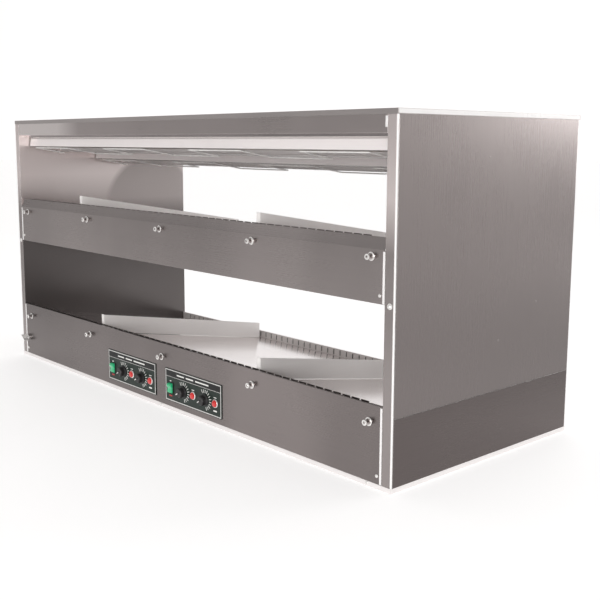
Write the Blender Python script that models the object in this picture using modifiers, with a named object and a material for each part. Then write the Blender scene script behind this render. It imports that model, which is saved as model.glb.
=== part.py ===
"""Two-level pass-through heated display cabinet in folded stainless sheet.

Metres, +Z up, front towards -Y, origin under the middle of the base.
A hollow side wall stands at each end.  Between them hang a hood and a shelf, each
carrying two strip heaters with wire guards.  Both decks slope down to the rear and
hold lift-out lane dividers in slotted rails.  The switches and heat controls sit in
two plates on the lower front fascia.
"""
import math

import bmesh
import bpy
from mathutils import Matrix, Vector

# ---- driving dimensions -------------------------------------------------------
WIDTH = 1.529
DEPTH = 0.588
HEIGHT = 0.711
SHEET = 0.0012
GAP = 0.0003
POST_WIDTH = 0.024
CORNER_RADIUS = 0.0034
BASE_HEIGHT = 0.010
COVER_HEIGHT = 0.010
COVER_OVERHANG = 0.004
SIDE_SEAM_Z = 0.143

DECK_SLOPE = 0.17
CANOPY_SLOPE = 0.17
CANOPY_START_IN = 0.018
CANOPY_BEND_IN = 0.360
CANOPY_END_IN = 0.574
DECK_FRONT_Z = {"lower": 0.143, "upper": 0.458}
FASCIA_TOP_Z = {"lower": 0.162, "upper": 0.480}
UPPER_FASCIA_BOTTOM_Z = 0.356
UPPER_BEND_Z = 0.457
UPPER_LEAN = 0.006
UNDERPAN_FRONT_Z = 0.392
HOOD_FASCIA_BOTTOM_Z = 0.668
HOOD_REAR_BOTTOM_Z = 0.598
HOOD_CEILING_FRONT_Z = 0.662

RAIL_DEPTH_IN = 0.0090
SLOT_PITCH = 0.0254
SLOT_COUNT = 56
NOTCH_WIDTH = 0.0045
NOTCH_DEPTH = 0.012
REAR_SLOT_WIDTH = 0.004
REAR_SLOT_HEIGHT = 0.015
REAR_RAIL_RISE = 0.022
REAR_RAIL_DROP = 0.010
REAR_RAIL_IN = 0.0055

DIVIDER_HEIGHT = 0.047
DIVIDER_FRONT_IN = 0.0125
DIVIDER_REAR_IN = 0.555
DIVIDER_FLANGE = 0.012
DIVIDER_SLOTS = {"lower": (16, 42), "upper": (12, 42)}

HEATER_DEPTH = 0.100
HEATER_HEIGHT = 0.022
HEATER_FRONT_IN = {"front": 0.035, "rear": 0.255}
HEATER_LENGTH = 1.470
ELEMENT_RADIUS = 0.0042
GUARD_WIRE_RADIUS = 0.0016
GUARD_PITCH = 0.195
GUARD_FIRST_X = -0.701
GUARD_NODES = 8
GUARD_DROP = 0.004

STUD_X = (-0.6995, -0.3505, 0.0035, 0.3525, 0.7055)
STUD_Z = {"lower": 0.128, "upper": 0.443}
STUD_PROUD = 0.014
STUD_NECK_RADIUS = 0.0026

PLATE_WIDTH = 0.226
PLATE_HEIGHT = 0.080
PLATE_CENTRE_Z = 0.0645
PLATE_CENTRE_X = {"lower": -0.136, "upper": 0.134}
PLATE_THICKNESS = 0.0015
CONTROL_Z = 0.057
ROCKER_DX = -0.091
KNOB_DX = {"front": -0.038, "rear": 0.049}
LAMP_DX = {"front": 0.002, "rear": 0.089}
ROCKER_WIDTH = 0.019
ROCKER_RADIUS = 0.0125
ROCKER_TILT = math.radians(8)
KNOB_PROUD = 0.018
KNOB_REST = math.radians(-120)
LAMP_RADIUS = 0.0080
SHAFT_RADIUS = 0.0030

WING_SCREW_X = -0.7295
WING_SCREW_Z = 0.058
POST_SCREW_Z = 0.355
INLET_X = 0.600
INLET_Z = 0.0240
INLET_NECK_RADIUS = 0.0082
INLET_PROUD = 0.018

ROUND_STEPS = 14

# ---- planes that follow from them ---------------------------------------------
FRONT = -DEPTH / 2
BACK = DEPTH / 2
HALF = WIDTH / 2
INNER = HALF - POST_WIDTH
SPAN = INNER - 0.0005
WALL_TOP = HEIGHT - COVER_HEIGHT - GAP
WALL_BOTTOM = BASE_HEIGHT + GAP
LEVELS = ("lower", "upper")


def deck_z(level, inset):
    """Height of a deck's upper face at a distance behind the front plane."""
    return DECK_FRONT_Z[level] - DECK_SLOPE * inset


def slot_x(index):
    """Centre of a divider slot, counted from the left end of the rails."""
    return (index - (SLOT_COUNT - 1) / 2) * SLOT_PITCH


# ---- scene, collections and materials -----------------------------------------
def clear_scene():
    for old in list(bpy.data.objects):
        bpy.data.objects.remove(old, do_unlink=True)


def collection(name):
    made = bpy.data.collections.new(name)
    bpy.context.scene.collection.children.link(made)
    return made


def material(name, colour, metallic, roughness):
    made = bpy.data.materials.new(name)
    made.use_nodes = True
    shader = made.node_tree.nodes["Principled BSDF"]
    shader.inputs["Base Color"].default_value = (*colour, 1.0)
    shader.inputs["Metallic"].default_value = metallic
    shader.inputs["Roughness"].default_value = roughness
    return made


clear_scene()
PARTS = collection("heated_display_cabinet")
CUTTERS = collection("cutters")

STEEL = material("brushed_steel", (0.46, 0.43, 0.42), 1.0, 0.30)
BRIGHT = material("bright_steel", (0.78, 0.77, 0.75), 1.0, 0.18)
SHEATH = material("heater_sheath", (0.16, 0.13, 0.12), 0.8, 0.55)
PLATE_GREEN = material("plate_green", (0.012, 0.045, 0.035), 0.0, 0.40)
KNOB_BLACK = material("knob_black", (0.03, 0.04, 0.05), 0.0, 0.35)
LENS_GREEN = material("lens_green", (0.02, 0.55, 0.30), 0.0, 0.20)
LENS_RED = material("lens_red", (0.65, 0.05, 0.07), 0.0, 0.20)
HOUSING_BLACK = material("housing_black", (0.02, 0.02, 0.02), 0.0, 0.50)


# ---- building blocks ----------------------------------------------------------
def place(name, mesh, finish, parent_collection=PARTS):
    """Wrap a mesh or curve in an object, in a collection, with its material."""
    made = bpy.data.objects.new(name, mesh)
    parent_collection.objects.link(made)
    if finish is not None:
        mesh.materials.append(finish)
    return made


def mesh_from(bm, name):
    mesh = bpy.data.meshes.new(name)
    bm.to_mesh(mesh)
    bm.free()
    return mesh


def add_box(bm, low, high):
    low, high = Vector(low), Vector(high)
    size = high - low
    transform = Matrix.Translation((low + high) / 2) @ Matrix.Diagonal((*size, 1.0))
    bmesh.ops.create_cube(bm, size=1.0, matrix=transform)


def add_rod(bm, centre, radius, length, steps=ROUND_STEPS):
    """A closed cylinder along Y, centred on a point."""
    transform = Matrix.Translation(centre) @ Matrix.Rotation(math.pi / 2, 4, "X")
    bmesh.ops.create_cone(bm, cap_ends=True, segments=steps, radius1=radius,
                          radius2=radius, depth=length, matrix=transform)


def box(name, low, high, finish):
    bm = bmesh.new()
    add_box(bm, low, high)
    return place(name, mesh_from(bm, name), finish)


def folded_sheet(name, line, low, high, sweep, finish):
    """An open line of two-coordinate points, swept along X or Z, then thickened.

    The line runs along the middle of the sheet: (y, z) for a sweep along X and
    (x, y) for a sweep along Z.
    """
    bm = bmesh.new()
    along_x = sweep == "X"
    starts = [bm.verts.new((low, a, b) if along_x else (a, b, low)) for a, b in line]
    edges = [bm.edges.new(pair) for pair in zip(starts, starts[1:])]
    swept = bmesh.ops.extrude_edge_only(bm, edges=edges)["geom"]
    moved = [item for item in swept if isinstance(item, bmesh.types.BMVert)]
    step = (high - low, 0, 0) if along_x else (0, 0, high - low)
    bmesh.ops.translate(bm, verts=moved, vec=step)
    bmesh.ops.recalc_face_normals(bm, faces=bm.faces)
    made = place(name, mesh_from(bm, name), finish)
    shell = made.modifiers.new("thickness", "SOLIDIFY")
    shell.thickness = SHEET
    shell.offset = 0.0
    shell.use_even_offset = True
    return made


def outline_plate(name, outlines, thickness, rotation, location, finish):
    """A flat plate: a filled 2D curve, its first outline outside and the rest holes."""
    curve = bpy.data.curves.new(name, "CURVE")
    curve.dimensions = "2D"
    curve.fill_mode = "BOTH"
    curve.extrude = thickness / 2
    for outline in outlines:
        spline = curve.splines.new("POLY")
        spline.points.add(len(outline) - 1)
        for point, (a, b) in zip(spline.points, outline):
            point.co = (a, b, 0.0, 1.0)
        spline.use_cyclic_u = True
    made = place(name, curve, finish)
    made.rotation_euler = rotation
    made.location = location
    return made


def rectangle(x0, x1, z0, z1):
    return [(x0, z0), (x1, z0), (x1, z1), (x0, z1)]


def evaluated_mesh(source, name):
    """The object's mesh with its modifiers applied and loose caps welded."""
    bpy.context.view_layer.update()
    graph = bpy.context.evaluated_depsgraph_get()
    mesh = bpy.data.meshes.new_from_object(source.evaluated_get(graph))
    mesh.name = name
    bm = bmesh.new()
    bm.from_mesh(mesh)
    bmesh.ops.remove_doubles(bm, verts=bm.verts, dist=1e-6)
    bm.to_mesh(mesh)
    bm.free()
    return mesh


def as_mesh(curve_object):
    """Replace a curve object by a mesh object of the same name and place."""
    name = curve_object.name
    matrix = curve_object.matrix_world.copy()
    mesh = evaluated_mesh(curve_object, name)
    bpy.data.objects.remove(curve_object, do_unlink=True)
    made = place(name, mesh, None)
    made.matrix_world = matrix
    return made


def turned(name, profile, location, facing, finish, steps=ROUND_STEPS):
    """A profile of (radius, height) from its outer end inwards, turned about Y."""
    bm = bmesh.new()
    points = [bm.verts.new((radius, 0.0, height)) for radius, height in profile]
    for pair in zip(points, points[1:]):
        bm.edges.new(pair)
    made = place(name, mesh_from(bm, name), finish)
    screw = made.modifiers.new("turn", "SCREW")
    screw.steps = steps
    screw.render_steps = steps
    screw.use_merge_vertices = True
    screw.merge_threshold = 0.00001
    made.rotation_euler = (math.pi / 2 if facing == "front" else -math.pi / 2, 0, 0)
    made.location = location
    return made


def combine(target, bm, operation, name):
    """Cut a shape out of a part, or join it on, with an exact Boolean."""
    tool = place(name, mesh_from(bm, name), None, CUTTERS)
    tool.hide_render = True
    tool.display_type = "WIRE"
    boolean = target.modifiers.new(name, "BOOLEAN")
    boolean.operation = operation
    boolean.solver = "EXACT"
    boolean.object = tool
    return tool


# ---- casing -------------------------------------------------------------------
def make_base_pan():
    pan = box("base_pan", (-HALF, FRONT, 0), (HALF, BACK, BASE_HEIGHT), BRIGHT)
    inside = bmesh.new()
    add_box(inside, (-HALF + SHEET, FRONT + SHEET, SHEET), (HALF - SHEET, BACK - SHEET, 0.05))
    combine(pan, inside, "DIFFERENCE", "base_pan_inside")


def make_top_cover():
    top = box("top_cover", (-HALF, FRONT, HEIGHT - COVER_HEIGHT),
              (HALF, BACK + COVER_OVERHANG, HEIGHT), BRIGHT)
    inside = bmesh.new()
    add_box(inside, (-HALF + SHEET, FRONT + SHEET, 0.6),
            (HALF - SHEET, BACK + COVER_OVERHANG - SHEET, HEIGHT - SHEET))
    combine(top, inside, "DIFFERENCE", "top_cover_inside")


def post_corner(side, end):
    """Rounded corner of a post, from the outer side face round to the front or rear."""
    outer = side * (HALF - SHEET / 2)
    face = end * (BACK - SHEET / 2)
    centre_x = outer - side * CORNER_RADIUS
    centre_y = face - end * CORNER_RADIUS
    points = []
    for step in range(5):
        angle = math.radians(90) * step / 4
        points.append((centre_x + side * CORNER_RADIUS * math.cos(angle),
                       centre_y + end * CORNER_RADIUS * math.sin(angle)))
    return points


def make_side(name, side):
    """One hollow end wall: a U-shaped frame with its posts, and two outer panels."""
    wall_x = side * (INNER + SHEET / 2)
    line = post_corner(side, -1)
    line += [(wall_x, FRONT + SHEET / 2), (wall_x, BACK - SHEET / 2)]
    line += reversed(post_corner(side, 1))
    folded_sheet(f"{name}_side_frame", line, WALL_BOTTOM, WALL_TOP, "Z", STEEL)
    edge = SHEET / 2 + CORNER_RADIUS + 2 * GAP
    inner_x, outer_x = sorted((side * (HALF - SHEET), side * HALF))
    front, back = FRONT + edge, BACK - edge
    box(f"{name}_lower_side_panel", (inner_x, front, WALL_BOTTOM),
        (outer_x, back, SIDE_SEAM_Z - GAP), STEEL)
    box(f"{name}_side_panel", (inner_x, front, SIDE_SEAM_Z + GAP),
        (outer_x, back, WALL_TOP), STEEL)
    screw_x = side * (HALF - 0.0115)
    head = [(0, 0.0026), (0.0022, 0.0024), (0.0038, 0.0012), (0.0040, 0.0), (0, 0.0)]
    turned(f"{name}_post_screw", head, (screw_x, FRONT - GAP, POST_SCREW_Z), "front",
           BRIGHT, 10)


def make_hood():
    face = FRONT + SHEET / 2
    low = HOOD_FASCIA_BOTTOM_Z + SHEET / 2
    folded_sheet("hood_front_fascia", [(face + 0.016, low), (face, low), (face, WALL_TOP)],
                 -SPAN, SPAN, "X", STEEL)
    rear = BACK - SHEET / 2
    low = HOOD_REAR_BOTTOM_Z + SHEET / 2
    folded_sheet("hood_rear_fascia", [(rear - 0.012, low), (rear, low), (rear, WALL_TOP)],
                 -SPAN, SPAN, "X", STEEL)
    start, bend, end = CANOPY_START_IN, CANOPY_BEND_IN, CANOPY_END_IN
    low = HOOD_CEILING_FRONT_Z - CANOPY_SLOPE * (bend - start)
    line = [(FRONT + start, HOOD_CEILING_FRONT_Z + 0.020),
            (FRONT + start, HOOD_CEILING_FRONT_Z),
            (FRONT + bend, low), (FRONT + end, low), (FRONT + end, low + 0.020)]
    folded_sheet("hood_reflector_ceiling", line, -SPAN, SPAN, "X", BRIGHT)


# ---- decks and their rails ----------------------------------------------------
def make_deck(level):
    start = RAIL_DEPTH_IN + SHEET + 0.0014
    end = DEPTH - REAR_RAIL_IN - SHEET - 0.0014
    drop = SHEET / 2
    line = [(FRONT + start, deck_z(level, start) - drop - 0.020),
            (FRONT + start, deck_z(level, start) - drop),
            (FRONT + end, deck_z(level, end) - drop),
            (FRONT + end, deck_z(level, end) - drop - 0.006)]
    folded_sheet(f"{level}_deck", line, -SPAN, SPAN, "X", BRIGHT)


def notched_outline(top, bottom):
    """A rail's outline with an open notch in its top edge at each slot."""
    outline = [(-SPAN, bottom), (SPAN, bottom), (SPAN, top)]
    for index in reversed(range(SLOT_COUNT)):
        right = slot_x(index) + NOTCH_WIDTH / 2
        left = slot_x(index) - NOTCH_WIDTH / 2
        outline += [(right, top), (right, top - NOTCH_DEPTH)]
        outline += [(left, top - NOTCH_DEPTH), (left, top)]
    outline.append((-SPAN, top))
    return outline


def make_rails(level):
    upright = (math.pi / 2, 0, 0)
    top = FASCIA_TOP_Z[level] - 0.0005
    bottom = deck_z(level, 0) - 0.022
    outline_plate(f"{level}_front_slot_rail", [notched_outline(top, bottom)], SHEET,
                  upright, (0, FRONT + RAIL_DEPTH_IN + SHEET / 2, 0), BRIGHT)
    foot = deck_z(level, DEPTH)
    outlines = [rectangle(-SPAN, SPAN, foot - REAR_RAIL_DROP, foot + REAR_RAIL_RISE)]
    slot_top = foot + REAR_RAIL_RISE - 0.0035
    for index in range(SLOT_COUNT):
        middle = slot_x(index)
        outlines.append(rectangle(middle - REAR_SLOT_WIDTH / 2, middle + REAR_SLOT_WIDTH / 2,
                                  slot_top - REAR_SLOT_HEIGHT, slot_top))
    outline_plate(f"{level}_rear_slot_rail", outlines, SHEET, upright,
                  (0, BACK - REAR_RAIL_IN - SHEET / 2, 0), BRIGHT)


def make_upper_shelf():
    face = FRONT + SHEET / 2
    low = UPPER_FASCIA_BOTTOM_Z + SHEET / 2
    line = [(face + 0.016, low), (face, low), (face, UPPER_BEND_Z),
            (face + UPPER_LEAN, FASCIA_TOP_Z["upper"])]
    front = folded_sheet("upper_front_fascia", line, -SPAN, SPAN, "X", STEEL)
    rear_face = BACK - SHEET / 2
    rear_top = deck_z("upper", DEPTH) + REAR_RAIL_RISE - 0.004
    rear_low = UNDERPAN_FRONT_Z - DECK_SLOPE * DEPTH - 0.020
    line = [(rear_face - 0.012, rear_low), (rear_face, rear_low), (rear_face, rear_top)]
    folded_sheet("upper_rear_fascia", line, -SPAN, SPAN, "X", STEEL)
    start, end = CANOPY_START_IN, CANOPY_END_IN
    line = [(FRONT + start, UNDERPAN_FRONT_Z + 0.018),
            (FRONT + start, UNDERPAN_FRONT_Z),
            (FRONT + end, UNDERPAN_FRONT_Z - DECK_SLOPE * (end - start)),
            (FRONT + end, UNDERPAN_FRONT_Z - DECK_SLOPE * (end - start) + 0.012)]
    folded_sheet("upper_shelf_underpan", line, -SPAN, SPAN, "X", BRIGHT)
    return front


def make_lower_fascias():
    face = FRONT + SHEET / 2
    low = WALL_BOTTOM + SHEET / 2
    top = FASCIA_TOP_Z["lower"] - SHEET / 2
    line = [(face + 0.020, low), (face, low), (face, top), (face + 0.006, top)]
    front = folded_sheet("lower_front_fascia", line, -SPAN, SPAN, "X", STEEL)
    rear_face = BACK - SHEET / 2
    rear_top = deck_z("lower", DEPTH) + REAR_RAIL_RISE - 0.004
    line = [(rear_face - 0.020, low), (rear_face, low), (rear_face, rear_top)]
    rear = folded_sheet("lower_rear_fascia", line, -SPAN, SPAN, "X", STEEL)
    hole = bmesh.new()
    add_rod(hole, (INLET_X, BACK, INLET_Z), INLET_NECK_RADIUS + 0.0004, 0.02)
    combine(rear, hole, "DIFFERENCE", "inlet_hole")
    return front


def cut_front(fascia, level):
    """Stud holes in a front fascia, and the control openings of the lower one."""
    holes = bmesh.new()
    for x in STUD_X:
        add_rod(holes, (x, FRONT, STUD_Z[level]), STUD_NECK_RADIUS + 0.0004, 0.02, 10)
    if level == "lower":
        add_rod(holes, (WING_SCREW_X, FRONT, WING_SCREW_Z), SHAFT_RADIUS + 0.0004, 0.02, 10)
        for centre in PLATE_CENTRE_X.values():
            add_box(holes, (centre - 0.104, FRONT - 0.01, CONTROL_Z - 0.020),
                    (centre + 0.104, FRONT + 0.01, CONTROL_Z + 0.020))
    combine(fascia, holes, "DIFFERENCE", f"{level}_fascia_openings")


# ---- lane dividers ------------------------------------------------------------
def make_divider(level, side, index):
    """A sheet on edge along the deck, with a front flange and a hook for the notch."""
    name = f"{level}_{side}_divider"
    x = slot_x(index)
    rail_top = FASCIA_TOP_Z[level] - 0.0005
    lift = 0.0006
    front, rear = DIVIDER_FRONT_IN, DIVIDER_REAR_IN
    hook = RAIL_DEPTH_IN - 0.0012
    hook_low = rail_top - NOTCH_DEPTH + 0.0008
    hook_high = rail_top - 0.0010
    outline = [(front, deck_z(level, front) + lift),
               (rear, deck_z(level, rear) + lift),
               (rear, deck_z(level, rear) + lift + DIVIDER_HEIGHT),
               (front, deck_z(level, front) + lift + DIVIDER_HEIGHT),
               (front, hook_high), (hook, hook_high), (hook, hook_low), (front, hook_low)]
    # local X runs back along the deck and local Y up, so the plate stands in the YZ plane
    flat = outline_plate(name, [outline], SHEET, (math.pi / 2, 0, math.pi / 2),
                         (x, FRONT, 0), BRIGHT)
    bpy.context.view_layer.update()
    plate = as_mesh(flat)
    flange = bmesh.new()
    add_box(flange, (x - DIVIDER_FLANGE, FRONT + front - 0.0001, deck_z(level, front) + 0.001),
            (x, FRONT + front + SHEET, deck_z(level, front) + lift + DIVIDER_HEIGHT))
    combine(plate, flange, "UNION", f"{name}_flange")


# ---- strip heaters ------------------------------------------------------------
def canopy(level):
    """Front height and slope of the surface that a level's heaters hang from."""
    if level == "upper":
        return HOOD_CEILING_FRONT_Z - SHEET / 2, CANOPY_SLOPE
    return UNDERPAN_FRONT_Z - SHEET / 2, DECK_SLOPE


def make_heater(level, row):
    """Channel, sheathed element and bent wire guard, tilted with their canopy."""
    front_z, slope = canopy(level)
    inset = HEATER_FRONT_IN[row]
    top_z = front_z - slope * (inset - CANOPY_START_IN) - GAP
    tilt = Matrix.Rotation(-math.atan(slope), 4, "X")
    frame = Matrix.Translation((0, FRONT + inset, top_z)) @ tilt
    name = f"{level}_{row}_heater"
    half = HEATER_LENGTH / 2

    edge = SHEET / 2
    line = [(0.010, -HEATER_HEIGHT + edge), (edge, -HEATER_HEIGHT + edge), (edge, -edge),
            (HEATER_DEPTH - edge, -edge), (HEATER_DEPTH - edge, -HEATER_HEIGHT + edge),
            (HEATER_DEPTH - 0.010, -HEATER_HEIGHT + edge)]
    housing = folded_sheet(f"{name}_housing", line, -half, half, "X", BRIGHT)
    housing.matrix_world = frame

    bm = bmesh.new()
    turn = Matrix.Translation((0, HEATER_DEPTH / 2, -HEATER_HEIGHT + 0.009))
    turn = turn @ Matrix.Rotation(math.pi / 2, 4, "Y")
    bmesh.ops.create_cone(bm, cap_ends=True, segments=10, radius1=ELEMENT_RADIUS,
                          radius2=ELEMENT_RADIUS, depth=HEATER_LENGTH - 0.03, matrix=turn)
    element = place(f"{name}_element", mesh_from(bm, f"{name}_element"), SHEATH)
    element.matrix_world = frame

    guard = place(f"{level}_{row}_wire_guard", guard_curve(f"{level}_{row}_wire_guard"), BRIGHT)
    guard.matrix_world = frame


def guard_curve(name):
    """One bent wire that crosses the channel at each node, in a square wave."""
    level = -HEATER_HEIGHT - GUARD_DROP
    near, far = 0.004, HEATER_DEPTH - 0.004
    end = HEATER_LENGTH / 2 - 0.006
    points = [(-end, far, level)]
    for node in range(GUARD_NODES):
        x = GUARD_FIRST_X + node * GUARD_PITCH
        crossing = [(x, near, level), (x, far, level)]
        points += crossing if node % 2 else reversed(crossing)
    points.append((end, far, level))
    curve = bpy.data.curves.new(name, "CURVE")
    curve.dimensions = "3D"
    curve.bevel_depth = GUARD_WIRE_RADIUS
    curve.bevel_resolution = 2
    curve.use_fill_caps = True
    spline = curve.splines.new("POLY")
    spline.points.add(len(points) - 1)
    for point, co in zip(spline.points, points):
        point.co = (*co, 1.0)
    return curve


# ---- fasteners on the fascias -------------------------------------------------
def make_studs(level):
    """Five spool-shaped studs on one backing strip behind the fascia."""
    z = STUD_Z[level]
    behind = FRONT + SHEET + GAP
    profile = [(0, STUD_PROUD), (0.0030, STUD_PROUD - 0.0006), (0.0044, STUD_PROUD - 0.0020),
               (0.0044, STUD_PROUD - 0.0040), (0.0024, STUD_PROUD - 0.0052),
               (0.0024, 0.0048), (0.0062, 0.0036), (0.0062, GAP), (STUD_NECK_RADIUS, GAP),
               (STUD_NECK_RADIUS, -SHEET - 0.0010), (0, -SHEET - 0.0010)]
    pattern = turned("stud_pattern", profile, (0, 0, 0), "front", None, 10)
    one = evaluated_mesh(pattern, "stud_pattern")
    one.transform(pattern.matrix_world)
    bpy.data.objects.remove(pattern, do_unlink=True)
    studs = bmesh.new()
    for x in STUD_X:
        before = len(studs.verts)
        studs.from_mesh(one)
        studs.verts.ensure_lookup_table()
        bmesh.ops.translate(studs, verts=studs.verts[before:], vec=(x, FRONT, z))
    strip = box(f"{level}_label_studs", (STUD_X[0] - 0.012, behind, z - 0.006),
                (STUD_X[-1] + 0.012, behind + 0.0015, z + 0.006), BRIGHT)
    combine(strip, studs, "UNION", f"{level}_stud_heads")


def make_wing_screw():
    """Thumbscrew of the control cover, turned by two wings."""
    profile = [(0, 0.0120), (0.0044, 0.0120), (0.0056, 0.0020), (0.0064, GAP),
               (SHAFT_RADIUS, GAP), (SHAFT_RADIUS, -0.012), (0, -0.012)]
    screw = turned("cover_wing_screw", profile, (WING_SCREW_X, FRONT, WING_SCREW_Z),
                   "front", BRIGHT)
    wings = bmesh.new()
    add_box(wings, (-0.0125, -0.0012, 0.0050), (0.0125, 0.0012, 0.0180))
    place_wings = Matrix.Translation((WING_SCREW_X, FRONT, WING_SCREW_Z))
    place_wings = place_wings @ Matrix.Rotation(math.radians(35), 4, "Y")
    place_wings = place_wings @ Matrix.Rotation(math.pi / 2, 4, "X")
    bmesh.ops.transform(wings, matrix=place_wings, verts=wings.verts)
    combine(screw, wings, "UNION", "wing_blades")


def make_power_inlet():
    """Recessed mains inlet on the lower rear fascia."""
    profile = [(0, 0.004), (0.0078, 0.004), (0.0078, INLET_PROUD), (0.0104, INLET_PROUD),
               (0.0108, 0.0040), (0.0130, 0.0032), (0.0130, GAP), (INLET_NECK_RADIUS, GAP),
               (INLET_NECK_RADIUS, -0.014), (0, -0.014)]
    turned("power_inlet", profile, (INLET_X, BACK, INLET_Z), "rear", HOUSING_BLACK)


# ---- controls -----------------------------------------------------------------
def make_control_plate(level):
    centre = PLATE_CENTRE_X[level]
    front = FRONT - GAP - PLATE_THICKNESS
    plate = box(f"{level}_control_plate",
                (centre - PLATE_WIDTH / 2, front, PLATE_CENTRE_Z - PLATE_HEIGHT / 2),
                (centre + PLATE_WIDTH / 2, FRONT - GAP, PLATE_CENTRE_Z + PLATE_HEIGHT / 2),
                PLATE_GREEN)
    holes = bmesh.new()
    rocker_x = centre + ROCKER_DX
    half_w = ROCKER_WIDTH / 2 + 0.0005
    half_h = ROCKER_RADIUS + 0.0005
    add_box(holes, (rocker_x - half_w, FRONT - 0.01, CONTROL_Z - half_h),
            (rocker_x + half_w, FRONT + 0.01, CONTROL_Z + half_h))
    for row in ("front", "rear"):
        add_rod(holes, (centre + KNOB_DX[row], FRONT, CONTROL_Z), SHAFT_RADIUS + 0.0005, 0.02)
        add_rod(holes, (centre + LAMP_DX[row], FRONT, CONTROL_Z), 0.0055, 0.02)
    combine(plate, holes, "DIFFERENCE", f"{level}_plate_holes")


def make_knob(level, row):
    """Skirted round knob with a raised pointer rib, on its own shaft."""
    base = FRONT - GAP - PLATE_THICKNESS
    x = PLATE_CENTRE_X[level] + KNOB_DX[row]
    lift = KNOB_PROUD - PLATE_THICKNESS - GAP
    profile = [(0, lift - 0.0015), (0.0095, lift - 0.0015), (0.0108, lift - 0.0030),
               (0.0118, 0.0040), (0.0145, 0.0026), (0.0145, 0.0006), (SHAFT_RADIUS, 0.0006),
               (SHAFT_RADIUS, -0.014), (0, -0.014)]
    name = f"{level}_{row}_heat_knob"
    knob = turned(name, profile, (x, base, CONTROL_Z), "front", KNOB_BLACK, 18)
    rib = bmesh.new()
    add_box(rib, (-0.0012, -0.001, lift - 0.005), (0.0012, 0.0100, lift))
    turn = Matrix.Translation((x, base, CONTROL_Z)) @ Matrix.Rotation(KNOB_REST, 4, "Y")
    turn = turn @ Matrix.Rotation(math.pi / 2, 4, "X")
    bmesh.ops.transform(rib, matrix=turn, verts=rib.verts)
    combine(knob, rib, "UNION", f"{name}_pointer")


def make_indicator(level, row):
    base = FRONT - GAP - PLATE_THICKNESS
    x = PLATE_CENTRE_X[level] + LAMP_DX[row]
    crown = 0.0075
    profile = [(0, crown)]
    for step in range(1, 4):
        angle = math.radians(90) * step / 3
        profile.append((LAMP_RADIUS * math.sin(angle), 0.0022 + (crown - 0.0022) * math.cos(angle)))
    profile += [(LAMP_RADIUS, GAP), (0.0050, GAP), (0.0050, -0.016), (0, -0.016)]
    turned(f"{level}_{row}_indicator", profile, (x, base, CONTROL_Z), "front", LENS_RED)


def make_rocker(level):
    """Switch paddle: a V-shaped face between two arcs about its pivot."""
    outline = []
    for degrees in (112, 90, 68):
        angle = math.radians(degrees)
        outline.append((ROCKER_RADIUS * math.cos(angle), ROCKER_RADIUS * math.sin(angle)))
    for degrees in (-68, -90, -112):
        angle = math.radians(degrees)
        outline.append((ROCKER_RADIUS * math.cos(angle), ROCKER_RADIUS * math.sin(angle)))
    outline += [(-0.0085, -ROCKER_RADIUS * 0.80), (-0.0055, 0.0), (-0.0085, ROCKER_RADIUS * 0.80)]
    outline.reverse()
    # the outline lies in the YZ plane, pivoting about X in the plane of the plate
    paddle = outline_plate(f"{level}_power_rocker", [outline], ROCKER_WIDTH,
                           (math.pi / 2, 0, math.pi / 2), (0, 0, 0), LENS_GREEN)
    x = PLATE_CENTRE_X[level] + ROCKER_DX
    upright = paddle.rotation_euler.to_matrix().to_4x4()
    tilt = Matrix.Rotation(ROCKER_TILT, 4, "X")
    paddle.matrix_world = Matrix.Translation((x, FRONT, CONTROL_Z)) @ tilt @ upright


def make_controller_block(level):
    """Heat controllers and terminals, in one moulded block behind the plate."""
    centre = PLATE_CENTRE_X[level]
    box(f"{level}_controller_block", (centre - 0.100, FRONT + 0.022, CONTROL_Z - 0.022),
        (centre + 0.100, FRONT + 0.070, CONTROL_Z + 0.022), HOUSING_BLACK)


# ---- assembly -----------------------------------------------------------------
def build():
    make_base_pan()
    make_top_cover()
    make_side("left", -1)
    make_side("right", 1)
    make_hood()
    cut_front(make_upper_shelf(), "upper")
    cut_front(make_lower_fascias(), "lower")
    for level in LEVELS:
        make_deck(level)
        make_rails(level)
        for side, index in zip(("left", "right"), DIVIDER_SLOTS[level]):
            make_divider(level, side, index)
        make_studs(level)
        make_control_plate(level)
        make_rocker(level)
        make_controller_block(level)
        for row in ("front", "rear"):
            make_heater(level, row)
            make_knob(level, row)
            make_indicator(level, row)
    make_wing_screw()
    make_power_inlet()


build()
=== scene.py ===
"""Looks of a two-level pass-through heated display cabinet in stainless sheet.

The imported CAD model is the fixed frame.  This script gives every solid its finish
and adds the small parts that sit on it: printed marks, bezels, rounded rockers, knob
pointers and flutes, screws, rivets, washers, end trims, corner beads, rail teeth, stud
discs, heater end holders and inlet pins.  Metres, +Z up, front towards -Y.
"""
import math

import bmesh
import bpy
from mathutils import Matrix, Vector


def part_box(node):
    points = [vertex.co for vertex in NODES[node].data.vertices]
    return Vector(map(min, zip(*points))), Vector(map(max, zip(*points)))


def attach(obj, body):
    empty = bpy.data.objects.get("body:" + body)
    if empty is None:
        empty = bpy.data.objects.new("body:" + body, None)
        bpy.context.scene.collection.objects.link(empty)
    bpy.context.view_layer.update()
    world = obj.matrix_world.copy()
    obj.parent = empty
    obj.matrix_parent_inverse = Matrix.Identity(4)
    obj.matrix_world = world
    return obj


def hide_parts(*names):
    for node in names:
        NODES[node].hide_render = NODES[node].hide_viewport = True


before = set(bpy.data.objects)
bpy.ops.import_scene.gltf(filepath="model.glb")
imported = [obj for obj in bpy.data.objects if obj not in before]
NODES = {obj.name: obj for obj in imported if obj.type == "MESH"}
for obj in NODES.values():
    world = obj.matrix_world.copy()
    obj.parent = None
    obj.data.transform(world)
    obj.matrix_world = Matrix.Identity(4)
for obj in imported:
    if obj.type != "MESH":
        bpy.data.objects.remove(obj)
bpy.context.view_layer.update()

LEVELS = ("lower", "upper")
ROWS = ("front", "rear")
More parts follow.
